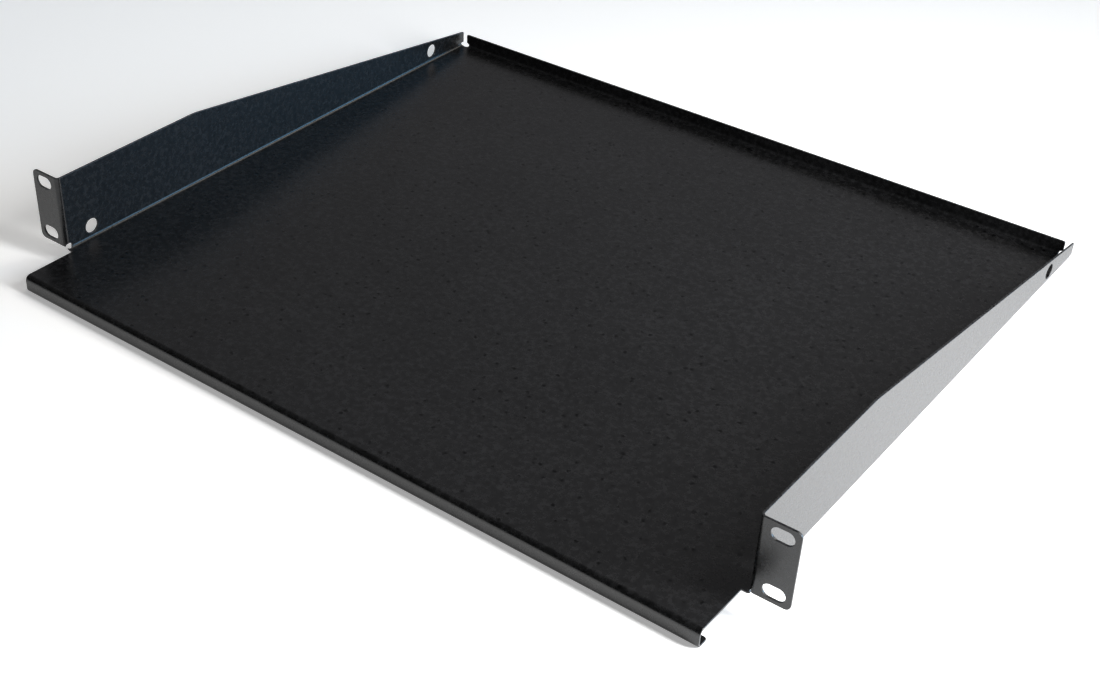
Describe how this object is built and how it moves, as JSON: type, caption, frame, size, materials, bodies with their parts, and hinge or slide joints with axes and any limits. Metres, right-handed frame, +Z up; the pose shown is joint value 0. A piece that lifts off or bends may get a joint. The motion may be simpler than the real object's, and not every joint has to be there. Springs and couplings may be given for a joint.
{
  "type": "cantilever rack shelf",
  "caption": "One-unit cantilever rack shelf folded from one steel sheet: flat deck, front and rear lips, sloping side walls and slotted ears.",
  "frame": {"origin": "centre of the four rack slots, on the plane where the ears seat on the rack's rails", "axes": "+X to the right seen from the front of the rack, +Y into the rack, +Z up"},
  "size_m": [0.4826, 0.3937, 0.0556],
  "materials": {
    "powder_coat": "black fine-texture powder coat, satin"
  },
  "bodies": {
    "root": {"shelf": "powder_coat"}
  },
  "joints": []
}
